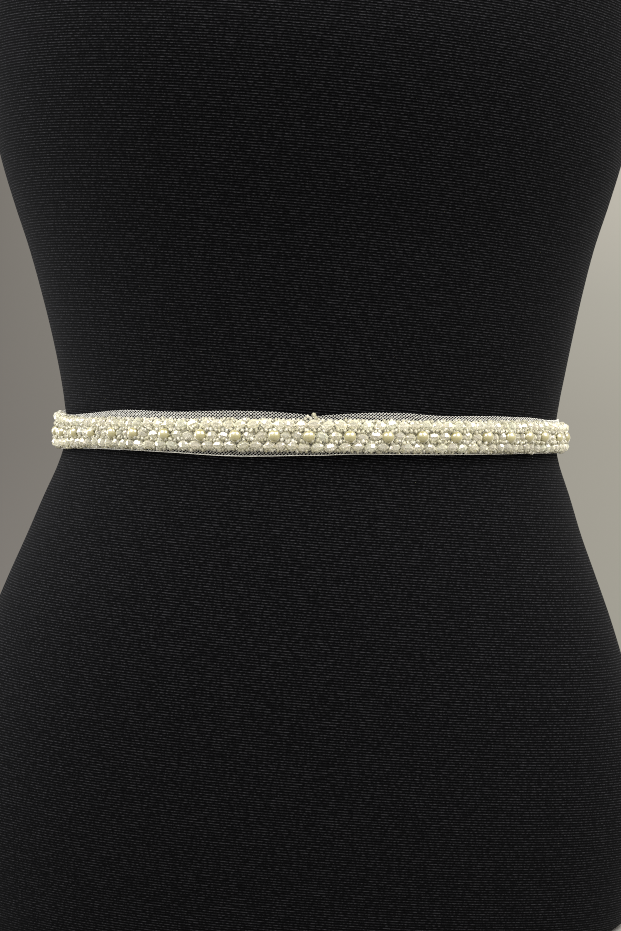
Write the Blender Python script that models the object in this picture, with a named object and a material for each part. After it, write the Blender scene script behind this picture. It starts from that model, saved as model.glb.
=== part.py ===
"""A beaded belt of folded net, hooked round a limbless dress form that stands on its flat underside.

Sizes are in millimetres, and off_form() turns them into metres with +Z up. Heights are measured from the
narrowest part of the waist. Angles run round the body from the centre front, which faces -Y, towards +X,
and arcs are lengths along the belt in the same direction.
"""
import math
from collections import namedtuple

import bmesh
import bpy
import numpy as np

MM = 0.001
NUDGE = 0.002  # radians either side of a point, to find which way the form faces there

RingSpan = namedtuple("RingSpan", "low high spacing")
BeadRow = namedtuple("BeadRow", "centre crowns shift")
WirePoint = namedtuple("WirePoint", "along out spread")
Finish = namedtuple("Finish", "colour roughness metallic")

# The form
WAIST_HEIGHT = 240.0
FORM_ANGLES = 36
FORM_ASPECT = 1.27  # closer angles at the sides, where the form turns fastest
BASE_ROUNDING = 7.0
NECK_ROUNDING = 9.0
ROUNDING_STEPS = 3
SECTION_COLUMNS = ("height", "half_width", "front", "back", "centre_x", "squareness")
SECTIONS = (
    (-240, 163.0, 88, 113, 0.0, 2.25),
    (-190, 172.0, 97, 122, 0.0, 2.20),
    (-145, 167.5, 101, 118, 0.6, 2.15),
    (-105, 157.0, 102, 112, 1.5, 2.10),
    (-80, 148.2, 101, 107, 2.2, 2.08),
    (-56, 138.4, 99, 103, 3.2, 2.05),
    (-30, 128.7, 96, 99, 4.9, 2.02),
    (-12, 122.0, 94, 96, 6.1, 2.00),
    (0, 120.0, 93, 95, 7.1, 2.00),
    (14, 121.4, 93.5, 95, 7.5, 2.00),
    (30, 124.2, 94.6, 95.2, 7.9, 2.02),
    (45, 127.2, 96, 95.5, 7.9, 2.05),
    (85, 136.9, 102, 98, 7.5, 2.10),
    (133, 151.6, 114, 102, 7.6, 2.15),
    (175, 158.5, 122, 105, 7.4, 2.20),
    (220, 161.5, 117, 108, 7.2, 2.25),
    (265, 162.5, 105, 109, 7.0, 2.25),
    (305, 161.0, 90, 104, 7.0, 2.20),
    (335, 152.0, 75, 93, 7.0, 2.10),
    (355, 132.0, 65, 82, 7.0, 2.00),
    (372, 104.0, 58, 72, 7.0, 2.00),
    (386, 79.0, 54, 64, 7.0, 2.00),
    (400, 63.0, 52, 58, 7.0, 2.00),
    (420, 56.5, 51, 54, 7.0, 2.00),
    (455, 54.5, 50, 53, 7.0, 2.00),
)
RINGS = (
    RingSpan(-233, -30, 20.3),
    RingSpan(-30, 24, 6.0),
    RingSpan(24, 308, 21.8),
    RingSpan(308, 404, 9.6),
    RingSpan(404, 446, 21.0),
)

# The net strip: two layers of net, folded along the top edge
NET_CLEARANCE = 0.4
NET_WALL = 1.2
NET_ROWS = 4
NET_SPACING = 7.2
PINCH_REACH = 10.0  # closer columns where the net is pinched at the centre front
PINCH_SPACING = 2.0
NET_END = 3.0  # from each end to the centre back
EDGE_COLUMNS = ("arc", "above", "below")
NET_EDGES = (
    (-352, 9.4, 7.4),
    (-318, 9.7, 7.9),
    (-284, 10.7, 8.4),
    (-243, 9.4, 7.3),
    (-190, 11.3, 8.2),
    (-170, 10.8, 7.7),
    (-150, 9.0, 7.3),
    (-120, 9.6, 6.8),
    (-95, 11.2, 7.0),
    (-66, 10.5, 7.8),
    (-35, 11.2, 9.1),
    (-10, 10.3, 8.7),
    (-4, 9.7, 8.5),
    (0, 8.1, 8.5),
    (5, 9.2, 8.4),
    (15, 10.1, 7.9),
    (45, 10.7, 7.8),
    (57, 9.8, 7.8),
    (88, 9.8, 7.6),
    (125, 9.2, 7.3),
    (160, 9.2, 7.5),
    (205, 10.5, 8.3),
    (252, 9.3, 7.1),
    (290, 10.6, 8.0),
    (322, 9.6, 7.8),
    (352, 9.3, 7.4),
)

# The beads, sewn three deep on the strip: a pearl and two crystals in turn, between rows of crystals
BELT_CENTRE = -1.4  # height of the pearls' row at the centre front
BELT_SLOPE = 0.0092  # fall for each millimetre towards +X
BEAD_PITCH = 16.4 / 3  # on average: a pearl's cell, then two crystals' cells
PEARL_SIZE = 5.8
CRYSTAL_SIZE = 4.8
BEAD_CELLS = 61  # to each side of the centre pearl
PLACE_COLUMNS = ("cell", "arc")
PLACES = (
    (-61.5, -337.1),
    (-39, -212.5),
    (-27, -143.9),
    (-24, -128.4),
    (-21, -113.5),
    (-18, -98.6),
    (-15, -85.8),
    (-12, -68.7),
    (-9, -50.6),
    (-6, -34.2),
    (-3, -16.5),
    (0, -0.9),
    (3, 17.4),
    (6, 34.7),
    (9, 51.0),
    (12, 67.8),
    (15, 84.9),
    (18, 98.6),
    (21, 111.5),
    (24, 124.7),
    (27, 141.0),
    (39, 208.0),
    (61.5, 335.3),
)
LAST_LEFT_CELL = 1
BAND_CLEARANCE = 0.3
BAND_BASE = 1.2
CRYSTAL_TAPER = 0.4  # fall of a crystal's facets for each millimetre from its crown
PEARL_STATIONS = (-0.5, -0.27, 0.0, 0.27)  # of the pitch: the edge of a bead, then the points of its crown
CRYSTAL_STATIONS = (-0.5, -0.2, 0.2)
EDGE_WIDTH = 0.12  # of the pitch: a point nearer than this to two beads' meeting lies between them
BEAD_ROWS = (
    BeadRow(-4.9, (0.0,), -1 / 3),
    BeadRow(0.1, (-1.7, 0.0, 1.7), 0.0),
    BeadRow(5.2, (0.0,), 1 / 3),
)
PEARL_ROW = 1

# The hook and eye at the centre back, measured along, up and out from the gap's centre
WIRE = 0.9
WIRE_RESOLUTION = 2
WIRE_LIFT = 2.35
CLOSURE_HEIGHT = 1.0
EYE_BAR = 0.8
BEND_RADIUS = 1.3
HOOK_SPREAD = 0.9
BEND_STEPS = 6
HOOK_SHANK = (
    WirePoint(10.6, WIRE_LIFT, 0.7),
    WirePoint(10.3, WIRE_LIFT, 1.7),
    WirePoint(9.3, WIRE_LIFT, 2.3),
    WirePoint(8.1, WIRE_LIFT, 2.1),
    WirePoint(6.8, WIRE_LIFT, 1.2),
    WirePoint(5.0, 2.55, 0.95),
    WirePoint(3.5, 3.10, HOOK_SPREAD),
    WirePoint(2.2, 3.58, HOOK_SPREAD),
)
HOOK_TIP = (
    WirePoint(1.6, 1.05, 0.85),
    WirePoint(2.1, 1.05, 0.45),
)
EYE_OUTLINE = (
    WirePoint(-10.7, WIRE_LIFT, 0.7),
    WirePoint(-10.4, WIRE_LIFT, 1.8),
    WirePoint(-9.4, WIRE_LIFT, 2.5),
    WirePoint(-8.0, WIRE_LIFT, 2.3),
    WirePoint(-6.6, WIRE_LIFT, 1.8),
    WirePoint(-4.8, WIRE_LIFT, 1.8),
    WirePoint(-2.5, WIRE_LIFT, 2.1),
    WirePoint(-0.6, WIRE_LIFT, 2.3),
    WirePoint(0.4, WIRE_LIFT, 2.0),
    WirePoint(EYE_BAR, WIRE_LIFT, 1.3),
    WirePoint(EYE_BAR, WIRE_LIFT, 0.5),
)

MATERIALS = {
    "jersey": Finish((0.011, 0.011, 0.014, 1), 0.85, 0.0),
    "net": Finish((0.72, 0.69, 0.58, 1), 0.70, 0.0),
    "beads": Finish((0.80, 0.76, 0.60, 1), 0.20, 0.0),
    "wire": Finish((0.62, 0.61, 0.58, 1), 0.30, 1.0),
}


def smooth_reader(names, rows):
    """Return a function that reads a column on a smooth curve through the table's rows."""
    table = np.array(rows, dtype=float)
    stations = table[:, 0]
    slopes = np.gradient(table, stations, axis=0)

    def read(name, place):
        column = names.index(name)
        place = np.clip(place, stations[0], stations[-1])
        row = np.clip(np.searchsorted(stations, place, side="right") - 1, 0, len(stations) - 2)
        span = stations[row + 1] - stations[row]
        part = (place - stations[row]) / span
        rest = 1 - part
        value = table[row, column] * (1 + 2 * part) * rest**2
        value = value + table[row + 1, column] * (3 - 2 * part) * part**2
        value = value + span * slopes[row, column] * part * rest**2
        return value - span * slopes[row + 1, column] * rest * part**2

    return read


section = smooth_reader(SECTION_COLUMNS, SECTIONS)
net_edge = smooth_reader(EDGE_COLUMNS, NET_EDGES)
bead_place = smooth_reader(PLACE_COLUMNS, PLACES)


def form_outline(angle, height):
    """Return x and y of the form's surface, in millimetres, at an angle from the centre front."""
    wide = section("half_width", height)
    deep = np.where(np.cos(angle) > 0, section("front", height), section("back", height))
    power = section("squareness", height)
    across = np.abs(np.sin(angle) / wide) ** power
    along = np.abs(np.cos(angle) / deep) ** power
    radius = (across + along) ** (-1 / power)
    return section("centre_x", height) + radius * np.sin(angle), -radius * np.cos(angle)


def off_form(angle, height, distance):
    """Return points in metres, moved level and straight out from the form's surface."""
    x, y = form_outline(angle, height)
    ahead_x, ahead_y = form_outline(angle + NUDGE, height)
    behind_x, behind_y = form_outline(angle - NUDGE, height)
    along_x = ahead_x - behind_x
    along_y = ahead_y - behind_y
    length = np.hypot(along_x, along_y)
    x = x + distance * along_y / length
    y = y - distance * along_x / length
    level = np.broadcast_to(height + WAIST_HEIGHT, np.shape(x))
    return np.stack((x, y, level), axis=-1) * MM


def measure_ring():
    """Return angles round the waist and the arcs there, along the middle of the beads."""
    angles = np.linspace(-math.pi, math.pi, 2881)
    middle = NET_CLEARANCE + NET_WALL + BAND_CLEARANCE + PEARL_SIZE / 2
    steps = np.diff(off_form(angles, 0.0, middle), axis=0)
    arcs = np.concatenate(([0.0], np.cumsum(np.linalg.norm(steps, axis=1)))) / MM
    return angles, arcs - np.interp(0.0, angles, arcs)


RING_ANGLES, RING_ARCS = measure_ring()
HALF_ROUND = RING_ARCS[-1]


def angle_at(arc):
    """Return the angle at an arc, which may run on past the centre back."""
    wrapped = (arc + HALF_ROUND) % (2 * HALF_ROUND) - HALF_ROUND
    return np.interp(wrapped, RING_ARCS, RING_ANGLES)


def belt_height(angle):
    """Return the height of the pearls' row, which slopes a little from side to side."""
    x, _ = form_outline(angle, 0.0)
    return BELT_CENTRE - BELT_SLOPE * (x - section("centre_x", 0.0))


def make_material(name):
    """Return one named Principled material."""
    finish = MATERIALS[name]
    material = bpy.data.materials.new(name)
    material.use_nodes = True
    shader = material.node_tree.nodes["Principled BSDF"]
    shader.inputs["Base Color"].default_value = finish.colour
    shader.inputs["Roughness"].default_value = finish.roughness
    shader.inputs["Metallic"].default_value = finish.metallic
    material.diffuse_color = finish.colour
    return material


def add_solid(name, model, material, sharp_angle):
    """Turn a closed bmesh into a named object whose faces point out."""
    bmesh.ops.recalc_face_normals(model, faces=model.faces)
    mesh = bpy.data.meshes.new(name)
    model.to_mesh(mesh)
    model.free()
    mesh.shade_smooth()
    mesh.set_sharp_from_angle(angle=math.radians(sharp_angle))
    mesh.materials.append(make_material(material))
    solid = bpy.data.objects.new(name, mesh)
    bpy.context.collection.objects.link(solid)
    return solid


def add_rows(model, grid):
    """Add a grid of points to a bmesh and return its vertices, column by column."""
    return [[model.verts.new(point) for point in column] for column in grid]


def join_columns(model, left, right):
    """Fill the quads between two neighbouring columns of vertices."""
    for low in range(len(left) - 1):
        model.faces.new((left[low], right[low], right[low + 1], left[low + 1]))


def add_wall(name, outer, inner, material, sharp_angle):
    """Close an open-ended wall between an outer and an inner grid with as many columns."""
    model = bmesh.new()
    outside = add_rows(model, outer)
    inside = add_rows(model, inner)
    for column in range(len(outside) - 1):
        join_columns(model, outside[column], outside[column + 1])
        join_columns(model, inside[column], inside[column + 1])
        for edge in (0, -1):
            rim_left = (outside[column][edge], inside[column][edge])
            rim_right = (outside[column + 1][edge], inside[column + 1][edge])
            join_columns(model, rim_left, rim_right)
    for end in (0, -1):
        model.faces.new(outside[end] + inside[end][::-1])
    return add_solid(name, model, material, sharp_angle)


def ring_heights():
    """Return the heights of the form's rings and how far each is drawn in to round an end."""
    heights = []
    insets = []
    turns = [math.pi / 2 * step / ROUNDING_STEPS for step in range(ROUNDING_STEPS)]
    for turn in turns:
        heights.append(-WAIST_HEIGHT + BASE_ROUNDING * (1 - math.cos(turn)))
        insets.append(BASE_ROUNDING * (1 - math.sin(turn)))
    for span in RINGS:
        count = round((span.high - span.low) / span.spacing)
        heights += [span.low + (span.high - span.low) * step / count for step in range(count)]
        insets += [0.0] * count
    top = RINGS[-1].high
    for turn in turns + [math.pi / 2]:
        heights.append(top + NECK_ROUNDING * math.sin(turn))
        insets.append(NECK_ROUNDING * (1 - math.cos(turn)))
    return heights, insets


def build_form():
    """Loft the whole smooth torso, from its flat underside to the top of its neck."""
    model = bmesh.new()
    turns = np.linspace(-math.pi, math.pi, FORM_ANGLES, endpoint=False)
    angles = np.arctan2(FORM_ASPECT * np.sin(turns), np.cos(turns))
    rings = []
    for height, inset in zip(*ring_heights()):
        rings.append([model.verts.new(point) for point in off_form(angles, height, -inset)])
    for lower, upper in zip(rings, rings[1:]):
        join_columns(model, lower + lower[:1], upper + upper[:1])
    model.faces.new(rings[0])
    model.faces.new(rings[-1])
    return add_solid("dress_form", model, "jersey", 50)


def build_net():
    """Wrap the folded strip of net round the waist, with its wavy edges and the pinch at the front."""
    reach = HALF_ROUND - NET_END
    count = round(2 * reach / NET_SPACING)
    pinch = np.arange(-PINCH_REACH, PINCH_REACH + PINCH_SPACING, PINCH_SPACING)
    spaced = np.linspace(-reach, reach, count + 1)
    arcs = np.sort(np.concatenate((spaced[np.abs(spaced) > PINCH_REACH + 1], pinch)))
    angles = angle_at(arcs)
    middle = belt_height(angles)
    low = middle - net_edge("below", arcs)
    high = middle + net_edge("above", arcs)
    part = np.linspace(0.0, 1.0, NET_ROWS)
    heights = low[:, None] + (high - low)[:, None] * part
    outer = off_form(angles[:, None], heights, NET_CLEARANCE + NET_WALL)
    inner = off_form(angles[:, None], heights, NET_CLEARANCE)
    return add_wall("net_strip", outer, inner, "net", 50)


def bead_profile():
    """Return the heights across the band, each with its row of beads and its place in it, or None."""
    profile = [(BEAD_ROWS[0].centre - CRYSTAL_SIZE / 2, None, 0.0)]
    for number, row in enumerate(BEAD_ROWS):
        profile += [(row.centre + crown, number, crown) for crown in row.crowns]
        if row is not BEAD_ROWS[-1]:
            profile.append(((row.centre + BEAD_ROWS[number + 1].centre) / 2, None, 0.0))
    profile.append((BEAD_ROWS[-1].centre + CRYSTAL_SIZE / 2, None, 0.0))
    return profile


def bead_rise(cell, part, row, up):
    """Return how far a bead stands off the band's inside at one point of its row."""
    if row is None:
        return BAND_BASE
    across = (part - BEAD_ROWS[row].shift + 0.5) % 1 - 0.5
    if 0.5 - abs(across) < EDGE_WIDTH:
        return BAND_BASE
    across *= BEAD_PITCH
    if row == PEARL_ROW and cell % 3 == 0:
        radius = PEARL_SIZE / 2
        return radius + math.sqrt(radius**2 - across**2 - up**2)
    return CRYSTAL_SIZE - CRYSTAL_TAPER * (abs(across) + abs(up))


def build_beads(name, first_cell, last_cell):
    """Raise pearls and crystals in the outer points of a band that is plain inside."""
    profile = bead_profile()
    flat = [BAND_BASE] * len(profile)
    arcs = []
    rises = []
    for cell in range(first_cell, last_cell + 1):
        for part in PEARL_STATIONS if cell % 3 == 0 else CRYSTAL_STATIONS:
            arcs.append(bead_place("arc", cell + part))
            rises.append([bead_rise(cell, part, row, up) for _, row, up in profile])
    arcs.append(bead_place("arc", last_cell + 0.5))
    rises.append(flat)
    rises[0] = flat
    arcs[0] += BAND_CLEARANCE / 2
    arcs[-1] -= BAND_CLEARANCE / 2
    angles = angle_at(np.array(arcs))[:, None]
    levels = belt_height(angles) + np.array([height for height, _, _ in profile])
    inside = NET_CLEARANCE + NET_WALL + BAND_CLEARANCE
    outer = off_form(angles, levels, inside + np.array(rises))
    inner = off_form(angles, levels[:, (0, -1)], inside)
    return add_wall(name, outer, inner, "beads", 20)


def closure_points(rows):
    """Place wire points over the gap at the centre back."""
    along, out, spread = np.array(rows).T
    angles = angle_at(HALF_ROUND - along)
    levels = belt_height(angle_at(HALF_ROUND)) + CLOSURE_HEIGHT + spread
    return off_form(angles, levels, out)


def build_wire(name, rows):
    """Bend one closed loop of wire, whose second leg mirrors the first."""
    mirrored = [point._replace(spread=-point.spread) for point in reversed(rows)]
    points = closure_points(list(rows) + mirrored)
    curve = bpy.data.curves.new(name, "CURVE")
    curve.dimensions = "3D"
    curve.bevel_depth = WIRE / 2 * MM
    curve.bevel_resolution = WIRE_RESOLUTION
    spline = curve.splines.new("POLY")
    spline.points.add(len(points) - 1)
    for target, point in zip(spline.points, points):
        target.co = (*point, 1.0)
    spline.use_cyclic_u = True
    curve.materials.append(make_material("wire"))
    wire = bpy.data.objects.new(name, curve)
    bpy.context.collection.objects.link(wire)
    return wire


def hook_rows():
    """Return the hook's leg: its shank, the bend round the eye's bar, and the tip beneath the bar."""
    rows = list(HOOK_SHANK)
    for step in range(BEND_STEPS + 1):
        turn = math.pi / 2 + math.pi * step / BEND_STEPS
        along = EYE_BAR + BEND_RADIUS * math.cos(turn)
        rows.append(WirePoint(along, WIRE_LIFT + BEND_RADIUS * math.sin(turn), HOOK_SPREAD))
    return rows + list(HOOK_TIP)


def clear_scene():
    """Remove every object that the scene starts with."""
    for item in list(bpy.data.objects):
        bpy.data.objects.remove(item, do_unlink=True)


def main():
    """Build the form, the belt on it and the belt's fastening."""
    clear_scene()
    build_form()
    build_net()
    build_beads("bead_band_left", -BEAD_CELLS, LAST_LEFT_CELL)
    build_beads("bead_band_right", LAST_LEFT_CELL + 1, BEAD_CELLS)
    build_wire("hook", hook_rows())
    build_wire("eye", EYE_OUTLINE)


main()
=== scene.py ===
"""The looks of a beaded belt on its dress form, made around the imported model.

Sizes are in millimetres, and on_form() turns them into metres. Heights are above the surface that the form
stands on. Arcs are lengths along the belt from the centre front, which faces -Y, towards +X.
"""
import math
import random

import bpy
import numpy as np
from mathutils import Euler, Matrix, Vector


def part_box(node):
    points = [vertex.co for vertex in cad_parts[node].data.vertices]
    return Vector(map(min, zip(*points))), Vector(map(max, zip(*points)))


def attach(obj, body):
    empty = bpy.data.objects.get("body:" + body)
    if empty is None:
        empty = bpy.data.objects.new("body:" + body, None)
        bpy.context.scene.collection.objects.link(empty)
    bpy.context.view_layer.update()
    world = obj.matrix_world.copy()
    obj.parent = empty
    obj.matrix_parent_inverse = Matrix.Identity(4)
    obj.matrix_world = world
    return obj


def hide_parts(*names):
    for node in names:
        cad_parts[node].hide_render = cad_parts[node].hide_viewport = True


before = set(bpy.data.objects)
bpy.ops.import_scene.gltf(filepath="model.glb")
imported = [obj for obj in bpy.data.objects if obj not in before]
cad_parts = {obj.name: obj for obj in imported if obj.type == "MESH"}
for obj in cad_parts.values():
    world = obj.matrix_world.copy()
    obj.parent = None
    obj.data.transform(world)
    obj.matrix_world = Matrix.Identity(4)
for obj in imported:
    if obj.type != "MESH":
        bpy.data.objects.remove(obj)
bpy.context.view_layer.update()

MM = 0.001
random.seed(7)

# How the form is read from the frame
LEVEL_GAP = 0.3
TURN_GAP = 0.03  # radians
ROUND_FACTOR = 20
SKIN_REACH = 26.0  # above and below the belt
SKIN_STEP = 0.5
COLUMN_GAP = 0.9
ARC_RING = 2.0  # out from the form, where the arcs of the belt's edges are read

# The belt's layers, as distances out from the form
BEAD_MIDDLE = 4.8
NET_OUTSIDE = 1.6
BEAD_FOOT = 1.9

# The rows of beads: a pearl's cell, then two crystals' cells, counted from the centre pearl
BEAD_CELLS = 61
ROW_ABOVE_MIDDLE = -0.15

# Where the cells are: cell and arc
BEAD_PLACES = (
    (-61.5, -337.1),
    (-39, -212.5),
    (-27, -143.9),
    (-24, -128.4),
    (-21, -113.5),
    (-18, -98.6),
    (-15, -85.8),
    (-12, -68.7),
    (-9, -50.6),
    (-6, -34.2),
    (-3, -16.5),
    (0, -0.9),
    (3, 17.4),
    (6, 34.7),
    (9, 51.0),
    (12, 67.8),
    (15, 84.9),
    (18, 98.6),
    (21, 111.5),
    (24, 124.7),
    (27, 141.0),
    (39, 208.0),
    (61.5, 335.3),
)

# The net
NET_END = 3.0
CELL_WIDTH = 1.65
CELL_ROWS = 15
FOLD_ROWS = 0.8  # of cells on each side of the fold, where the net turns over
NET_THREAD = 0.16
NET_CROSSING = 0.05  # out from the layer's middle to each thread's, where two cross
NET_EDGE = 0.38
FRONT_LAYER = 1.15
BACK_LAYER = 0.85

# How far the folded edge sinks round on the right: arc and depth
NET_DIP = ((120, 0.0), (135, 0.8), (190, 0.9), (205, 0.0))

# The beads
PEARL_SIZE = 5.8
CRYSTAL_WIDTH = 4.7
CRYSTAL_LENGTH = 5.7
CRYSTAL_FILL = 1.02  # of the beads' spacing, at most
SEED_SIZE = 2.1
SEEDS_IN_CELL = 3
SMALL_SEED_SIZE = 1.6
SMALL_SEED_ASIDE = 1.6  # of a row's line, beside the ends of its beads
SMALL_SEED_LIFT = 0.9

# The tuft at the centre front: arc, height and lift of each bead
TUFT_TURN = 0.25  # of its beads' holes from the belt's run, at most
TUFT = (
    (-2.9, 7.9, 0.9),
    (-1.8, 8.9, 0.9),
    (-0.4, 8.0, 1.1),
    (0.9, 9.6, 0.8),
    (1.7, 8.4, 0.8),
)

# How the rows climb with the net, round on the left, and sink on the right: arc and rise of the top row
CLIMB = (
    (-230, 0.0),
    (-205, 2.2),
    (-190, 3.0),
    (-165, 2.8),
    (-152, 1.8),
    (-140, 0.3),
    (-130, 0.0),
    (125, 0.0),
    (145, -0.7),
    (185, -1.0),
    (215, 0.0),
)

# Each row's share of that climb
TOP_SHARE = 1.0
BETWEEN_SHARE = 0.65
MIDDLE_SHARE = 0.3
LOW_SHARE = 0.1

# Each row's height above the pearls' line
TOP_ROW = 5.1
MIDDLE_ROW = 0.1
LOW_ROW = -4.5

# How far the middle and the low row rise further, left of the front's middle: arc and rise
MIDDLE_RISE = ((-135, 0.0), (-115, 0.4), (-85, 0.4), (-60, 0.0))
LOW_RISE = ((-150, 0.0), (-130, 0.5), (-115, 0.9), (-100, 0.8), (-80, 0.35), (-20, 0.35), (0, 0.0))

# The sewing thread, and how it is laced across the net under the beads
SEWING_THREAD = 0.5
LACING_PITCH = 1.1
LACING_REACH = (-6.5, 6.4)
LACING_PAST = 0.3  # of a cell, past the last bead
LACING_LIFT = 0.35
LACING_WAVE = 0.25
LACING_STEPS = 8

# The wire of the hook and the eye
WIRE_WELD = 0.01
WIRE_ROUNDING = 2  # levels of subdivision

# The stitches round that wire: along and up from the middle of the gap, and lean in degrees
STITCH_THREAD = 0.3
STITCH_REACH = 0.65
STITCH_MIDDLE = 1.85
STITCH_DEPTH = 1.15
STITCH_STEPS = 10
STITCHES = (
    (10.6, 0.35, 0),
    (9.5, 2.25, 80),
    (9.0, 2.3, 95),
    (8.5, 2.2, 105),
    (-4.1, 1.85, 90),
    (-4.6, 1.8, 90),
    (-8.6, 2.4, 80),
    (-9.1, 2.5, 90),
    (-9.6, 2.45, 100),
    (-10.7, 0.35, 0),
)

# The rows of seed beads: height, lift and share of the climb
SEED_ROWS = (
    (7.0, 0.0, TOP_SHARE),
    (2.6, 0.8, BETWEEN_SHARE),
    (2.6, 2.3, BETWEEN_SHARE),
    (-2.2, 0.8, LOW_SHARE),
    (-2.2, 2.3, LOW_SHARE),
    (-6.5, 0.0, LOW_SHARE),
)

# The jersey cover
COVER_FACTOR = 5  # columns for each of the form's
COVER_STEP = 4.0  # from row to row
COVER_GAP = 0.5  # between rows, at least
COVER_CREASE = 50  # degrees
COURSE_PITCH = 1.2
WAVE_PERIOD = math.pi / 10  # of Blender's wave texture at scale 1, in metres

# The floor, in metres out from the form
FLOOR_SOLID = 0.7
FLOOR_GONE = 1.25

# The camera, in metres and in pixels of a picture of 621 x 931
WAIST = (0.0068, 0.0, 0.240)
CAMERA_DISTANCE = 1.0
EYE_ABOVE_WAIST = 0.006
FOCAL_PX = 2027.0
PHOTO_LONG_SIDE_PX = 931.0
PHOTO_MIDDLE_PX = 465.5
WAIST_PX = 432.0
SENSOR = 36.0  # millimetres, for the picture's long side

# The soft lights, which face the belt: name, place and size in metres, watts, and colour
LIT_PLACE = (0.0, -0.1, 0.24)
LIGHTS = (
    ("window_left", (-0.83, -0.78, 1.45), (1.5, 1.1), 33, (1.0, 0.98, 0.95)),
    ("window_right", (0.97, -0.62, 1.40), (1.5, 1.1), 47, (1.0, 0.98, 0.95)),
    ("side_left", (-1.8, 0.3, 0.5), (0.8, 1.2), 22, (0.95, 0.97, 1.0)),
)


def node_points(name):
    """Return a CAD node's points, in millimetres."""
    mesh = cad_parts[name].data
    points = np.empty(len(mesh.vertices) * 3)
    mesh.vertices.foreach_get("co", points)
    return points.reshape(-1, 3) / MM


def read_at(table, arc):
    """Read a table of (arc, value) at an arc."""
    return np.interp(arc, *np.array(table).T)


def clusters(values, gap):
    """Split the indices of values into groups with more than a gap between them, in order."""
    order = np.argsort(values)
    breaks = np.nonzero(np.diff(values[order]) > gap)[0] + 1
    return np.split(order, breaks)


def read_rings():
    """Return the heights of the form's rings, and each ring's points from the centre back round to it."""
    points = node_points("dress_form")
    heights = []
    rings = []
    for level in clusters(points[:, 2], LEVEL_GAP):
        ring = points[level]
        middle = (ring[:, 0].min() + ring[:, 0].max()) / 2
        turn = np.arctan2(ring[:, 0] - middle, -ring[:, 1]) + math.pi + TURN_GAP
        columns = clusters(turn % (2 * math.pi), TURN_GAP)
        heights.append(ring[:, 2].mean())
        rings.append([ring[column, :2].mean(axis=0) for column in columns])
    return np.array(heights), np.array(rings)


def smooth_round(rings, factor):
    """Add points between the columns of closed rings, on smooth curves through them."""
    before = np.roll(rings, 1, axis=1)
    after = np.roll(rings, -1, axis=1)
    later = np.roll(rings, -2, axis=1)
    filled = []
    for step in range(factor):
        part = step / factor
        linear = (after - before) * part
        square = (2 * before - 5 * rings + 4 * after - later) * part**2
        cube = (3 * rings - before - 3 * after + later) * part**3
        filled.append(rings + (linear + square + cube) / 2)
    return np.stack(filled, axis=2).reshape(len(rings), -1, 2)


def smooth_along(stations, values, wanted):
    """Read rows of values at the wanted places, on smooth curves through their stations."""
    slopes = np.gradient(values, stations, axis=0)
    row = np.clip(np.searchsorted(stations, wanted, side="right") - 1, 0, len(stations) - 2)
    span = stations[row + 1] - stations[row]
    part = (wanted - stations[row]) / span
    spread = (slice(None),) + (None,) * (values.ndim - 1)
    span = span[spread]
    part = part[spread]
    rest = 1 - part
    value = values[row] * (1 + 2 * part) * rest**2 + values[row + 1] * (3 - 2 * part) * part**2
    return value + span * part * rest * (slopes[row] * rest - slopes[row + 1] * part)


def outward(grid):
    """Return the level outward direction at each point of closed rings."""
    along = np.roll(grid, -1, axis=1) - np.roll(grid, 1, axis=1)
    along /= np.linalg.norm(along, axis=2, keepdims=True)
    return np.stack((along[:, :, 1], -along[:, :, 0]), axis=2)


RING_HEIGHTS, RINGS = read_rings()
BELT_MIDDLE = sum(corner[2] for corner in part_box("net_strip")) / 2 / MM
SKIN_LOW = BELT_MIDDLE - SKIN_REACH
SKIN_HEIGHTS = np.arange(SKIN_LOW, BELT_MIDDLE + SKIN_REACH, SKIN_STEP)
SKIN = smooth_along(RING_HEIGHTS, smooth_round(RINGS, ROUND_FACTOR), SKIN_HEIGHTS)
SKIN_OUT = outward(SKIN)
SKIN_COLUMNS = SKIN.shape[1]


def on_form(turn, height, distance):
    """Return points in metres, a distance straight out from the form near the belt."""
    column = (np.asarray(turn) / (2 * math.pi) + 0.5) % 1 * SKIN_COLUMNS
    row = np.clip((height - SKIN_LOW) / SKIN_STEP, 0, len(SKIN) - 1.001)
    column, row = np.broadcast_arrays(column, row)
    left = column.astype(int)
    low = row.astype(int)
    across = (column - left)[..., None]
    up = (row - low)[..., None]
    right = (left + 1) % SKIN_COLUMNS
    left = left % SKIN_COLUMNS
    place = 0
    for rows, share in ((low, 1 - up), (low + 1, up)):
        for columns, weight in ((left, 1 - across), (right, across)):
            out = SKIN_OUT[rows, columns] * np.asarray(distance)[..., None]
            place = place + (SKIN[rows, columns] + out) * weight * share
    level = np.broadcast_to(height, place.shape[:-1])
    return np.concatenate((place, level[..., None]), axis=-1) * MM


def measure_ring():
    """Return turns round the waist, and the arcs there along the middle of the beads."""
    turns = np.linspace(-math.pi, math.pi, 4 * SKIN_COLUMNS + 1)
    ring = on_form(turns, BELT_MIDDLE, BEAD_MIDDLE)
    steps = np.linalg.norm(np.diff(ring, axis=0), axis=1) / MM
    arcs = np.concatenate(([0.0], np.cumsum(steps)))
    return turns, arcs - np.interp(0.0, turns, arcs)


RING_TURNS, RING_ARCS = measure_ring()
HALF_ROUND = (RING_ARCS[-1] - RING_ARCS[0]) / 2


def turn_at(arc):
    """Return the turn at an arc, which may run on past the centre back."""
    wrapped = (np.asarray(arc) + HALF_ROUND) % (2 * HALF_ROUND) - HALF_ROUND
    return np.interp(wrapped, RING_ARCS, RING_TURNS)


def arcs_of(points):
    """Return the belt's arcs at points beside it, in millimetres."""
    ring = on_form(RING_TURNS, BELT_MIDDLE, ARC_RING)[:, :2] / MM
    nearest = [np.argmin(np.hypot(*(ring - point[:2]).T)) for point in points]
    return RING_ARCS[nearest]


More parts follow.
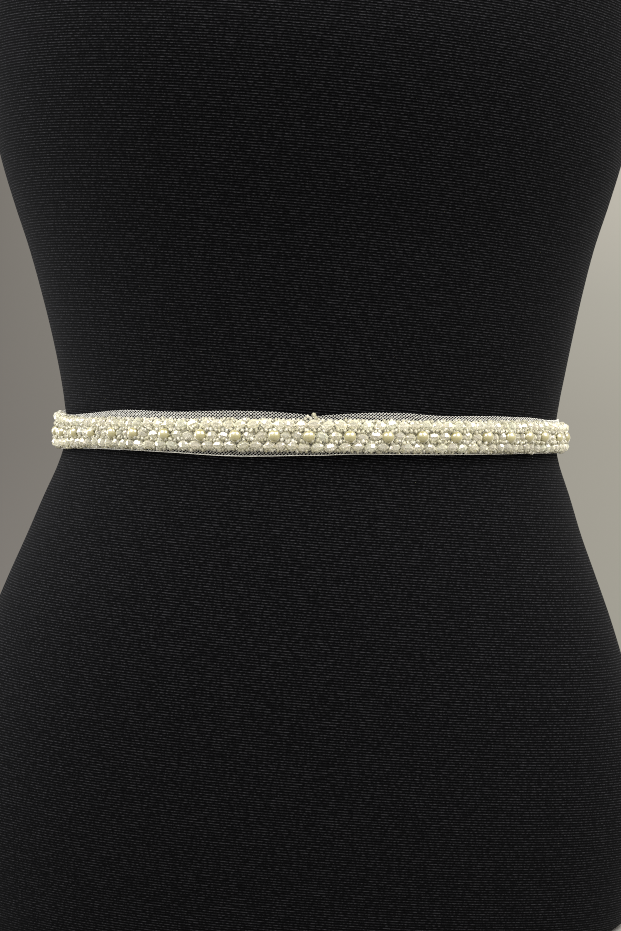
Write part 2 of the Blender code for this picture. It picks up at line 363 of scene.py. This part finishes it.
def read_edges(*names):
    """Return arcs along nodes that go round the form, and their lower and upper edges' heights there."""
    points = np.concatenate([node_points(name) for name in names])
    arcs = arcs_of(points)
    edges = []
    for column in clusters(arcs, COLUMN_GAP):
        heights = points[column, 2]
        edges.append((arcs[column].mean(), heights.min(), heights.max()))
    return np.array(edges)


NET_EDGES = read_edges("net_strip")
BAND_EDGES = read_edges("bead_band_left", "bead_band_right")


def row_height(arc):
    """Return the height of the pearls' row at an arc."""
    low = np.interp(arc, BAND_EDGES[:, 0], BAND_EDGES[:, 1])
    high = np.interp(arc, BAND_EDGES[:, 0], BAND_EDGES[:, 2])
    return (low + high) / 2 + ROW_ABOVE_MIDDLE


def bead_arc(cell):
    """Return the arc of a place counted in cells from the centre pearl."""
    cells, arcs = np.array(BEAD_PLACES).T
    return float(smooth_along(cells, arcs, np.array([cell]))[0])


def frames_at(arc):
    """Return the level directions along the belt and out of it at an arc."""
    turn = turn_at(arc)
    here = on_form(turn, BELT_MIDDLE, 0.0)
    out = on_form(turn, BELT_MIDDLE, 1.0) - here
    out /= np.linalg.norm(out, axis=-1, keepdims=True)
    along = np.stack((-out[..., 1], out[..., 0], np.zeros(out.shape[:-1])), axis=-1)
    return along, out


class Joined:
    """Many small shapes, gathered into one mesh."""

    def __init__(self):
        self.points = []
        self.faces = []
        self.count = 0

    def add(self, points, faces):
        """Take in one shape: its points in metres, and its faces as rows of its own point numbers."""
        self.points.append(points)
        self.faces += [[corner + self.count for corner in face] for face in faces]
        self.count += len(points)

    def finish(self, name, material, slot, smooth):
        """Make the gathered mesh one piece that rides with the model."""
        mesh = bpy.data.meshes.new(name)
        mesh.from_pydata(np.concatenate(self.points).tolist(), [], self.faces)
        if smooth:
            mesh.shade_smooth()
        mesh.materials.append(material)
        piece = bpy.data.objects.new(name, mesh)
        bpy.context.scene.collection.objects.link(piece)
        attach(piece, "root")
        return piece


def unit_turned(profile, sides, twists=None):
    """Return points and faces of a profile of (along, radius) turned about its own X axis."""
    points = []
    for row, (along, radius) in enumerate(profile):
        twist = twists[row] if twists else 0.0
        for side in range(sides):
            turn = 2 * math.pi * (side + twist) / sides
            points.append((along, radius * math.cos(turn), radius * math.sin(turn)))
    faces = []
    for row in range(len(profile) - 1):
        for side in range(sides):
            near = row * sides + side
            beside = row * sides + (side + 1) % sides
            faces.append((near, beside, beside + sides, near + sides))
    return np.array(points), faces


def unit_pearl():
    """Return a sphere one across, with a drilled hole along its X axis."""
    hole = 0.16
    steps = 12
    profile = [(-0.36, 0.06)]
    for step in range(steps + 1):
        turn = hole + (math.pi - 2 * hole) * step / steps
        profile.append((-0.5 * math.cos(turn), 0.5 * math.sin(turn)))
    profile.append((0.36, 0.06))
    return unit_turned(profile, 20)


def unit_crystal():
    """Return a cut bead, one across and one long, drilled along its X axis, its ends in triangles."""
    sides = 8
    profile = [
        (-0.32, 0.07),
        (-0.49, 0.14),
        (-0.27, 0.40),
        (0.0, 0.50),
        (0.27, 0.40),
        (0.49, 0.14),
        (0.32, 0.07),
    ]
    twists = (0.5, 0.5, 0.0, 0.0, 0.0, 0.5, 0.5)
    points, quads = unit_turned(profile, sides, twists)
    faces = []
    for near, beside, far_beside, far in quads:
        row = near // sides
        if twists[row] < twists[row + 1]:
            faces += [(near, beside, far), (beside, far_beside, far)]
        elif twists[row] > twists[row + 1]:
            faces += [(near, beside, far_beside), (near, far_beside, far)]
        else:
            faces.append((near, beside, far_beside, far))
    return points, faces


def unit_seed():
    """Return a rounded ring bead, one across, with its hole along its X axis."""
    steps = 4
    profile = []
    for step in range(steps + 1):
        turn = 2 * math.pi * step / steps
        profile.append((0.36 * math.sin(turn), 0.30 + 0.20 * math.cos(turn)))
    return unit_turned(profile, 8)


def placed(unit, sizes, centre, arc, tilt):
    """Return a unit shape at its size, turned by a tilt and set at a centre with X along the belt."""
    along, out = frames_at(arc)
    axes = np.array((along, -out, (0.0, 0.0, 1.0)))
    turned = (unit * np.array(sizes) * MM) @ np.array(Euler(tilt).to_matrix()).T
    return turned @ axes + centre


def tube(path, width, sides, closed=False):
    """Return points and faces of a thin tube along a path in metres."""
    path = np.asarray(path)
    ahead = np.roll(path, -1, axis=0) - np.roll(path, 1, axis=0)
    if not closed:
        ahead[0] = path[1] - path[0]
        ahead[-1] = path[-1] - path[-2]
    ahead /= np.linalg.norm(ahead, axis=1, keepdims=True)
    guide = np.where(np.abs(ahead[:, 2:]) > 0.9, (1.0, 0.0, 0.0), (0.0, 0.0, 1.0))
    first = np.cross(guide, ahead)
    first /= np.linalg.norm(first, axis=1, keepdims=True)
    second = np.cross(ahead, first)
    radius = width / 2 * MM
    rounds = []
    for side in range(sides):
        turn = 2 * math.pi * side / sides
        rounds.append(path + radius * (first * math.cos(turn) + second * math.sin(turn)))
    points = np.stack(rounds, axis=1).reshape(-1, 3)
    faces = []
    count = len(path)
    for row in range(count if closed else count - 1):
        for side in range(sides):
            beside = (side + 1) % sides
            far = (row + 1) % count * sides
            faces.append((row * sides + side, row * sides + beside, far + beside, far + side))
    return points, faces


def new_material(name):
    """Return a new material, its node tree and its Principled shader."""
    material = bpy.data.materials.new(name)
    material.use_nodes = True
    tree = material.node_tree
    return material, tree, tree.nodes["Principled BSDF"]


def set_values(shader, **values):
    """Set a shader's sockets, whose names are written with underscores."""
    for name, value in values.items():
        socket = shader.inputs[name.replace("_", " ").title().replace("Ior", "IOR")]
        socket.default_value = value


def add_ramp(tree, source, stops):
    """Colour a value by a ramp with stops of (place, colour)."""
    ramp = tree.nodes.new("ShaderNodeValToRGB")
    while len(ramp.color_ramp.elements) < len(stops):
        ramp.color_ramp.elements.new(0.5)
    for element, (place, colour) in zip(ramp.color_ramp.elements, stops):
        element.position = place
        element.color = (*colour, 1.0)
    tree.links.new(source, ramp.inputs["Fac"])
    return ramp.outputs["Color"]


def add_noise(tree, scale, detail=2.0):
    """Add a noise of that many lumps in a metre, laid in the object's own space."""
    where = tree.nodes.new("ShaderNodeTexCoord")
    noise = tree.nodes.new("ShaderNodeTexNoise")
    noise.inputs["Scale"].default_value = scale
    noise.inputs["Detail"].default_value = detail
    tree.links.new(where.outputs["Object"], noise.inputs["Vector"])
    return noise.outputs["Fac"]


def add_bump(tree, shader, source, depth):
    """Raise a surface by a value, with its depth in millimetres."""
    bump = tree.nodes.new("ShaderNodeBump")
    bump.inputs["Distance"].default_value = depth * MM
    tree.links.new(source, bump.inputs["Height"])
    tree.links.new(bump.outputs["Normal"], shader.inputs["Normal"])


def grey(value):
    """Return a grey colour."""
    return (value, value, value)


def jersey_material(name, stacking):
    """Black stretch jersey, its fine leaning courses stacked along one axis, with specks of pilling."""
    material, tree, shader = new_material(name)
    where = tree.nodes.new("ShaderNodeTexCoord")
    lean = tree.nodes.new("ShaderNodeMapping")
    lean.inputs["Rotation"].default_value = (0.0, math.radians(-5.0), 0.0)
    tree.links.new(where.outputs["Object"], lean.inputs["Vector"])
    courses = tree.nodes.new("ShaderNodeTexWave")
    courses.bands_direction = stacking
    courses.inputs["Scale"].default_value = WAVE_PERIOD / (COURSE_PITCH * MM)
    courses.inputs["Distortion"].default_value = 0.5
    courses.inputs["Detail"].default_value = 2.0
    courses.inputs["Detail Scale"].default_value = 2.0
    tree.links.new(lean.outputs["Vector"], courses.inputs["Vector"])
    blend = tree.nodes.new("ShaderNodeMath")
    blend.operation = "MULTIPLY"
    tree.links.new(courses.outputs["Fac"], blend.inputs[0])
    tree.links.new(add_noise(tree, 950.0, 3.0), blend.inputs[1])
    stops = (
        (0.14, (0.0002, 0.0002, 0.0004)),
        (0.42, (0.0028, 0.0029, 0.0036)),
        (0.62, (0.022, 0.022, 0.025)),
    )
    tree.links.new(add_ramp(tree, blend.outputs[0], stops), shader.inputs["Base Color"])
    add_bump(tree, shader, courses.outputs["Fac"], 0.25)
    roughness = add_ramp(tree, blend.outputs[0], ((0.1, grey(0.95)), (0.7, grey(0.75))))
    tree.links.new(roughness, shader.inputs["Roughness"])
    set_values(shader, sheen_weight=0.03, sheen_roughness=0.4, specular_ior_level=0.05)
    shader.inputs["Sheen Tint"].default_value = (0.8, 0.83, 0.9, 1.0)
    return material


def net_material():
    """Fine ivory net thread with a soft sheen, brighter where its strands catch the light."""
    material, tree, shader = new_material("ivory_net")
    noise = add_noise(tree, 420.0)
    colour = add_ramp(tree, noise, ((0.3, (0.77, 0.76, 0.70)), (0.7, (0.91, 0.90, 0.85))))
    tree.links.new(colour, shader.inputs["Base Color"])
    tree.links.new(add_ramp(tree, noise, ((0.3, grey(0.55)), (0.7, grey(0.35)))), shader.inputs["Roughness"])
    add_bump(tree, shader, add_noise(tree, 9000.0), 0.03)
    set_values(shader, sheen_weight=0.3)
    return material


def thread_material():
    """Ivory sewing thread, with the lumps of its twist."""
    material, tree, shader = new_material("ivory_thread")
    noise = add_noise(tree, 2600.0)
    colour = add_ramp(tree, noise, ((0.3, (0.84, 0.81, 0.68)), (0.7, (0.97, 0.95, 0.86))))
    tree.links.new(colour, shader.inputs["Base Color"])
    tree.links.new(add_ramp(tree, noise, ((0.3, grey(0.8)), (0.7, grey(0.6)))), shader.inputs["Roughness"])
    add_bump(tree, shader, noise, 0.06)
    set_values(shader, sheen_weight=0.3)
    return material


def pearl_material():
    """Cream pearl: a warm body under a clear lustre, with a paler glow towards its rim."""
    material, tree, shader = new_material("cream_pearl")
    noise = add_noise(tree, 170.0)
    colour = add_ramp(tree, noise, ((0.3, (0.22, 0.185, 0.04)), (0.7, (0.27, 0.235, 0.07))))
    tree.links.new(colour, shader.inputs["Base Color"])
    tree.links.new(add_ramp(tree, noise, ((0.3, grey(0.50)), (0.7, grey(0.42)))), shader.inputs["Roughness"])
    add_bump(tree, shader, add_noise(tree, 1500.0), 0.01)
    set_values(
        shader, ior=1.7, specular_ior_level=0.6, coat_weight=1.0, coat_roughness=0.07, coat_ior=2.3,
        sheen_weight=1.0, sheen_roughness=0.4,
    )
    shader.inputs["Sheen Tint"].default_value = (1.0, 0.98, 0.88, 1.0)
    return material


def crystal_material():
    """Cut glass, milky towards its rims, under a clear coat with a faint play of colour."""
    material, tree, shader = new_material("coated_crystal")
    island = tree.nodes.new("ShaderNodeNewGeometry").outputs["Random Per Island"]
    stops = (
        (0.0, (1.00, 0.96, 0.70)),
        (0.35, (1.00, 0.97, 0.79)),
        (0.60, (0.99, 0.94, 0.74)),
        (0.80, (1.00, 0.96, 0.72)),
        (1.0, (0.96, 0.97, 0.76)),
    )
    tree.links.new(add_ramp(tree, island, stops), shader.inputs["Base Color"])
    film = tree.nodes.new("ShaderNodeMapRange")
    film.inputs["To Min"].default_value = 240.0
    film.inputs["To Max"].default_value = 560.0
    tree.links.new(add_noise(tree, 210.0), film.inputs["Value"])
    tree.links.new(film.outputs["Result"], shader.inputs["Thin Film Thickness"])
    shader.inputs["Thin Film IOR"].default_value = 1.67
    noise = add_noise(tree, 800.0)
    tree.links.new(add_ramp(tree, noise, ((0.3, grey(0.02)), (0.7, grey(0.09)))), shader.inputs["Roughness"])
    add_bump(tree, shader, noise, 0.004)
    facing = tree.nodes.new("ShaderNodeLayerWeight")
    facing.inputs["Blend"].default_value = 0.5
    clear = add_ramp(tree, facing.outputs["Facing"], ((0.25, grey(0.68)), (0.7, grey(0.25))))
    tree.links.new(clear, shader.inputs["Transmission Weight"])
    solid = add_ramp(tree, facing.outputs["Facing"], ((0.25, grey(0.6)), (0.7, grey(0.85))))
    tree.links.new(solid, shader.inputs["Alpha"])
    set_values(
        shader, ior=1.75, coat_weight=1.0, coat_roughness=0.03, coat_ior=2.3,
        sheen_weight=0.8, sheen_roughness=0.2,
    )
    shader.inputs["Sheen Tint"].default_value = (1.0, 0.98, 0.90, 1.0)
    return material


def seed_material():
    """Small ivory glass beads, some clearer than others."""
    material, tree, shader = new_material("ivory_seed")
    island = tree.nodes.new("ShaderNodeNewGeometry").outputs["Random Per Island"]
    stops = ((0.0, (0.62, 0.59, 0.43)), (0.6, (0.72, 0.69, 0.56)), (1.0, (0.86, 0.84, 0.75)))
    tree.links.new(add_ramp(tree, island, stops), shader.inputs["Base Color"])
    noise = add_noise(tree, 900.0)
    tree.links.new(add_ramp(tree, noise, ((0.3, grey(0.05)), (0.7, grey(0.16)))), shader.inputs["Roughness"])
    add_bump(tree, shader, noise, 0.01)
    set_values(shader, ior=1.6, transmission_weight=0.45, alpha=0.85)
    return material


def wire_material():
    """Plated steel wire, drawn along its length."""
    material, tree, shader = new_material("plated_wire")
    noise = add_noise(tree, 1400.0)
    tree.links.new(add_ramp(tree, noise, ((0.3, grey(0.18)), (0.7, grey(0.36)))), shader.inputs["Roughness"])
    colour = add_ramp(tree, noise, ((0.3, (0.60, 0.59, 0.56)), (0.7, (0.70, 0.69, 0.66))))
    tree.links.new(colour, shader.inputs["Base Color"])
    add_bump(tree, shader, noise, 0.01)
    set_values(shader, metallic=1.0)
    return material


def floor_material():
    """Pale matt floor, which fades into the pale surroundings away from the form."""
    material, tree, shader = new_material("pale_floor")
    colour = add_ramp(tree, add_noise(tree, 3.0), ((0.3, (0.24, 0.23, 0.21)), (0.7, (0.27, 0.26, 0.24))))
    tree.links.new(colour, shader.inputs["Base Color"])
    set_values(shader, roughness=0.9)
    where = tree.nodes.new("ShaderNodeTexCoord")
    distance = tree.nodes.new("ShaderNodeVectorMath")
    distance.operation = "LENGTH"
    tree.links.new(where.outputs["Object"], distance.inputs[0])
    fade = tree.nodes.new("ShaderNodeMapRange")
    fade.interpolation_type = "SMOOTHSTEP"
    fade.inputs["From Min"].default_value = FLOOR_SOLID
    fade.inputs["From Max"].default_value = FLOOR_GONE
    fade.inputs["To Min"].default_value = 1.0
    fade.inputs["To Max"].default_value = 0.0
    tree.links.new(distance.outputs["Value"], fade.inputs["Value"])
    tree.links.new(fade.outputs["Result"], shader.inputs["Alpha"])
    return material


def make_cover(material, end_material):
    """Cover the form with one fine skin of jersey, read from the form's own rings, and its flat ends."""
    columns = smooth_round(RINGS, COVER_FACTOR)
    lows = np.arange(RING_HEIGHTS[0], RING_HEIGHTS[-1], COVER_STEP)
    heights = np.unique(np.round(np.concatenate((lows, RING_HEIGHTS)), 3))
    heights = heights[np.concatenate(([True], np.diff(heights) > COVER_GAP))]
    skin = smooth_along(RING_HEIGHTS, columns, heights)
    count = skin.shape[1]
    levels = np.broadcast_to(heights[:, None, None], (*skin.shape[:2], 1))
    points = np.concatenate((skin, levels), axis=2)
    faces = []
    for row in range(len(heights) - 1):
        for column in range(count):
            beside = (column + 1) % count
            low = row * count
            faces.append((low + column, low + beside, low + count + beside, low + count + column))
    faces.append(list(range(count))[::-1])
    faces.append([(len(heights) - 1) * count + column for column in range(count)])
    cover = Joined()
    cover.add(points.reshape(-1, 3) * MM, faces)
    piece = cover.finish("form_cover", material, "jersey", smooth=True)
    piece.data.set_sharp_from_angle(angle=math.radians(COVER_CREASE))
    piece.data.materials.append(end_material)
    for end in (-2, -1):
        piece.data.polygons[end].material_index = 1
    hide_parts("dress_form")


def net_place(arc, row, lift):
    """Return where the net is at an arc and a row of its cells, counted from the bottom over the fold."""
    low = np.interp(arc, NET_EDGES[:, 0], NET_EDGES[:, 1])
    high = np.interp(arc, NET_EDGES[:, 0], NET_EDGES[:, 2]) - read_at(NET_DIP, arc)
    up = np.minimum(row, 2 * CELL_ROWS - row) / CELL_ROWS
    bend = np.sin(np.clip((CELL_ROWS - row) / FOLD_ROWS, -1, 1) * math.pi / 2)
    offset = (FRONT_LAYER + BACK_LAYER) / 2 + (FRONT_LAYER - BACK_LAYER) / 2 * bend
    return on_form(turn_at(arc), low + (high - low) * up, offset + lift)


def make_net(material):
    """Knit the net as slanting threads that cross, up the front layer, over the fold and down the back."""
    reach = HALF_ROUND - NET_END
    net = Joined()
    cells = round(2 * reach / CELL_WIDTH)
    rows = np.arange(0, 2 * CELL_ROWS + 1, dtype=float)
    slant = rows * 2 * reach / cells
    for lean, lift in ((1, NET_CROSSING), (-1, -NET_CROSSING)):
        for strand in range(cells + 2 * CELL_ROWS):
            start = -reach + strand * 2 * reach / cells - (slant[-1] if lean > 0 else 0)
            arcs = start + lean * slant
            inside = np.abs(arcs) <= reach + NET_THREAD / 2
            if inside.sum() > 1:
                net.add(*tube(net_place(arcs[inside], rows[inside], lift), NET_THREAD, 3))
    edge = np.linspace(-reach, reach, cells)
    for row in (0.0, 2.0 * CELL_ROWS):
        net.add(*tube(net_place(edge, np.full(len(edge), row), 0.0), NET_EDGE, 4))
    for end in (-reach, reach):
        net.add(*tube(net_place(np.full(len(rows), end), rows, 0.0), NET_EDGE, 4))
    return net.finish("net_mesh", material, "net", smooth=True)


def jitter(reach):
    """Return a small random shift either way."""
    return random.uniform(-reach, reach)


class Beading:
    """Gathers the beads and the thread that holds them."""

    def __init__(self):
        self.pearls = Joined()
        self.crystals = Joined()
        self.seeds = Joined()
        self.threads = Joined()
        self.pearl = unit_pearl()
        self.crystal = unit_crystal()
        self.seed = unit_seed()

    def add(self, kind, unit, sizes, arc, height, lift, tilt):
        """Sew on one bead that stands a lift above the net."""
        centre = on_form(turn_at(arc), height, BEAD_FOOT + max(sizes[1:]) / 2 + lift)
        kind.add(placed(unit[0], sizes, centre, arc, tilt), unit[1])

    def add_pearl(self, arc, height):
        """Sew on one pearl, with its thread."""
        tilt = (jitter(3), jitter(0.15), jitter(0.15))
        self.add(self.pearls, self.pearl, (PEARL_SIZE,) * 3, arc, height, 0.0, tilt)
        self.add_thread(arc, height, PEARL_SIZE, PEARL_SIZE / 2)

    def add_crystal(self, arc, height, pitch):
        """Sew on one crystal, with its thread."""
        size = random.uniform(0.95, 1.04)
        length = min(CRYSTAL_FILL * pitch, CRYSTAL_LENGTH) * size
        width = CRYSTAL_WIDTH * size
        tilt = (random.uniform(0, 1), jitter(0.35), jitter(0.25))
        self.add(self.crystals, self.crystal, (length, width, width), arc, height, jitter(0.2) - 0.2, tilt)
        self.add_thread(arc, height, length, width / 2)

    def add_seed(self, arc, height, lift, size=SEED_SIZE, turn=0.9):
        """Sew on one seed bead, its hole turned up to that far from the belt's run."""
        size = size * random.uniform(0.85, 1.12)
        tilt = (jitter(3), jitter(turn), jitter(0.35))
        self.add(self.seeds, self.seed, (size,) * 3, arc, height, lift, tilt)

    def add_small_seeds(self, arc, height):
        """Sew on two small seed beads, above and below the place where a row's beads meet."""
        for side in (-1, 1):
            aside = side * SMALL_SEED_ASIDE + jitter(0.2)
            self.add_seed(arc + jitter(0.3), height + aside, SMALL_SEED_LIFT + jitter(0.3), SMALL_SEED_SIZE)

    def add_thread(self, arc, height, length, out):
        """Run thread out of both ends of a bead's hole and down into the net."""
        for side in (-1, 1):
            arcs = arc + side * length * np.array((0.42, 0.53, 0.58))
            offsets = np.array((BEAD_FOOT + out, BEAD_FOOT + out * 0.8, NET_OUTSIDE - 0.2))
            path = on_form(turn_at(arcs), np.full(3, height), offsets)
            self.threads.add(*tube(path, SEWING_THREAD, 4))

    def add_lacing(self):
        """Lay the thread that runs to and fro across the net under the beads."""
        low, high = LACING_REACH
        part = np.linspace(0, 1, LACING_STEPS)
        ends = bead_arc(-BEAD_CELLS - LACING_PAST), bead_arc(BEAD_CELLS + LACING_PAST)
        for lean in (-1, 1):
            for start in np.arange(ends[0], ends[1] - LACING_PITCH, LACING_PITCH / 2):
                arcs = start + LACING_PITCH * (part if lean > 0 else 1 - part)
                offsets = NET_OUTSIDE + LACING_LIFT + LACING_WAVE * np.sin(part * math.pi + start)
                path = on_form(turn_at(arcs), row_height(arcs) + low + (high - low) * part, offsets)
                self.threads.add(*tube(path, SEWING_THREAD, 3))

    def add_stitches(self):
        """Loop thread round the hook's and the eye's wire, and through the net."""
        middle = sum(corner[2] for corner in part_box("hook")) / 2 / MM
        turns = 2 * math.pi * np.arange(STITCH_STEPS) / STITCH_STEPS
        across = STITCH_REACH * np.cos(turns)
        offsets = STITCH_MIDDLE + STITCH_DEPTH * np.sin(turns)
        for along, up, degrees in STITCHES:
            lean = math.radians(degrees)
            arcs = HALF_ROUND - along - across * math.cos(lean)
            for side in (-1, 1):
                heights = middle + side * (up + across * math.sin(lean))
                path = on_form(turn_at(arcs), heights, offsets)
                self.threads.add(*tube(path, STITCH_THREAD, 4, closed=True))


def make_beads(pearl, crystal, seed, thread):
    """Sew on the pearls and crystals in three rows, and the seed beads between them."""
    beading = Beading()
    for cell in range(-BEAD_CELLS, BEAD_CELLS + 1):
        arc = bead_arc(cell)
        pitch = bead_arc(cell + 0.5) - bead_arc(cell - 0.5)
        climb = read_at(CLIMB, arc)
        line = row_height(arc)
        rise = read_at(LOW_RISE, arc)
        middle = line + MIDDLE_ROW + MIDDLE_SHARE * climb + read_at(MIDDLE_RISE, arc)
        if cell % 3 == 0:
            beading.add_pearl(arc, middle + jitter(0.2))
        else:
            beading.add_crystal(arc + jitter(0.2), middle + jitter(0.4), pitch)
        top = line + TOP_ROW + TOP_SHARE * climb
        beading.add_crystal(bead_arc(cell + 1 / 3) + jitter(0.3), top + jitter(0.35), pitch)
        low = line + LOW_ROW + LOW_SHARE * climb + rise
        beading.add_crystal(bead_arc(cell - 1 / 3) + jitter(0.3), low + jitter(0.3), pitch)
        beading.add_small_seeds(bead_arc(cell + 1 / 2), middle)
        beading.add_small_seeds(bead_arc(cell + 5 / 6), top)
        beading.add_small_seeds(bead_arc(cell + 1 / 6), low)
        for height, lift, share in SEED_ROWS:
            level = line + height + share * climb + (rise if height < MIDDLE_ROW else 0)
            for place in range(SEEDS_IN_CELL if cell < BEAD_CELLS else 1):
                spot = bead_arc(cell + place / SEEDS_IN_CELL) + jitter(0.12 * pitch)
                beading.add_seed(spot, level + jitter(0.45), lift + jitter(0.4))
    for arc, height, lift in TUFT:
        beading.add_seed(arc, row_height(arc) + height, lift, turn=TUFT_TURN)
    beading.add_lacing()
    beading.add_stitches()
    pearls = beading.pearls.finish("pearls", pearl, "pearl", smooth=True)
    crystals = beading.crystals.finish("crystals", crystal, "crystal", smooth=False)
    beading.seeds.finish("seed_beads", seed, "seed", smooth=True)
    beading.threads.finish("sewing_thread", thread, "thread", smooth=True)
    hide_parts("bead_band_left", "bead_band_right")
    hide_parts("bead_band_left", "bead_band_right")


def finish_wire(material):
    """Round off the hook and the eye, and give them their metal."""
    for name in ("hook", "eye"):
        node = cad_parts[name]
        node.data.materials.clear()
        node.data.materials.append(material)
        weld = node.modifiers.new("weld", "WELD")
        weld.merge_threshold = WIRE_WELD * MM
        rounder = node.modifiers.new("round", "SUBSURF")
        rounder.levels = WIRE_ROUNDING
        rounder.render_levels = WIRE_ROUNDING


def make_camera():
    """Set the camera just above the belt, as far off and with as long a lens as the photograph's."""
    data = bpy.data.cameras.new("camera")
    data.sensor_width = SENSOR
    data.lens = FOCAL_PX / PHOTO_LONG_SIDE_PX * SENSOR
    camera = bpy.data.objects.new("camera", data)
    bpy.context.scene.collection.objects.link(camera)
    camera.location = Vector(WAIST) + Vector((0.0, -CAMERA_DISTANCE, EYE_ABOVE_WAIST))
    drop = (PHOTO_MIDDLE_PX - WAIST_PX) / FOCAL_PX + EYE_ABOVE_WAIST / CAMERA_DISTANCE
    camera.rotation_euler = (math.pi / 2 - drop, 0.0, 0.0)
    bpy.context.scene.camera = camera


def area_light(name, place, target, size, power, colour):
    """Add a soft rectangular light that looks at a target."""
    data = bpy.data.lights.new(name, "AREA")
    data.shape = "RECTANGLE"
    data.size, data.size_y = size
    data.energy = power
    data.color = colour
    light = bpy.data.objects.new(name, data)
    bpy.context.scene.collection.objects.link(light)
    light.location = place
    light.rotation_euler = (Vector(target) - Vector(place)).to_track_quat("-Z", "Y").to_euler()


def mix_colours(tree, factor, first, second):
    """Blend from a first colour to a second by a factor."""
    blend = tree.nodes.new("ShaderNodeMix")
    blend.data_type = "RGBA"
    tree.links.new(factor, blend.inputs["Factor"])
    tree.links.new(first, blend.inputs["A"])
    tree.links.new(second, blend.inputs["B"])
    return blend.outputs["Result"]


def make_world():
    """Surround the scene with a pale wall, darker to the left, and a bright room in front of the form."""
    world = bpy.data.worlds.new("surroundings")
    bpy.context.scene.world = world
    world.use_nodes = True
    tree = world.node_tree
    where = tree.nodes.new("ShaderNodeTexCoord")
    parts = tree.nodes.new("ShaderNodeSeparateXYZ")
    tree.links.new(where.outputs["Generated"], parts.inputs[0])
    places = {}
    spans = (("X", "X", -0.16, 0.16), ("Y", "Y", 0.1, 0.6), ("Z", "Z", -0.12, 0.12), ("up", "Z", -0.6, 0.8))
    for name, axis, low, high in spans:
        place = tree.nodes.new("ShaderNodeMapRange")
        place.inputs["From Min"].default_value = low
        place.inputs["From Max"].default_value = high
        tree.links.new(parts.outputs[axis], place.inputs["Value"])
        places[name] = place.outputs["Result"]
    left = (
        (0.0, (0.228, 0.209, 0.190)),
        (0.45, (0.195, 0.180, 0.162)),
        (1.0, (0.195, 0.180, 0.160)),
    )
    right = (
        (0.0, (0.366, 0.350, 0.296)),
        (0.5, (0.392, 0.371, 0.317)),
        (0.75, (0.445, 0.425, 0.365)),
        (1.0, (0.545, 0.510, 0.440)),
    )
    room = (
        (0.0, (0.30, 0.29, 0.27)),
        (0.3, (0.62, 0.60, 0.55)),
        (0.5, (1.05, 1.03, 0.98)),
        (1.0, (1.25, 1.22, 1.17)),
    )
    left_colour = add_ramp(tree, places["Z"], left)
    right_colour = add_ramp(tree, places["Z"], right)
    wall_colour = mix_colours(tree, places["X"], left_colour, right_colour)
    room_colour = add_ramp(tree, places["up"], room)
    colour = mix_colours(tree, places["Y"], room_colour, wall_colour)
    tree.links.new(colour, tree.nodes["Background"].inputs["Color"])


def make_stage():
    """Add the floor, the soft lights and the pale surroundings."""
    mesh = bpy.data.meshes.new("floor")
    reach = FLOOR_GONE
    corners = [(-reach, -reach, 0), (reach, -reach, 0), (reach, reach, 0), (-reach, reach, 0)]
    mesh.from_pydata(corners, [], [(0, 1, 2, 3)])
    mesh.materials.append(floor_material())
    floor = bpy.data.objects.new("floor", mesh)
    bpy.context.scene.collection.objects.link(floor)
    for name, place, size, power, colour in LIGHTS:
        area_light(name, place, LIT_PLACE, size, power, colour)
    make_world()
    bpy.context.scene.view_settings.view_transform = "Standard"
    bpy.context.scene.cycles.filter_width = 1.0


def main():
    """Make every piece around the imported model."""
    make_camera()
    make_stage()
    make_cover(jersey_material("black_jersey", "Z"), jersey_material("black_jersey_ends", "Y"))
    net = make_net(net_material())
    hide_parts("net_strip")
    make_beads(pearl_material(), crystal_material(), seed_material(), thread_material())
    finish_wire(wire_material())


main()
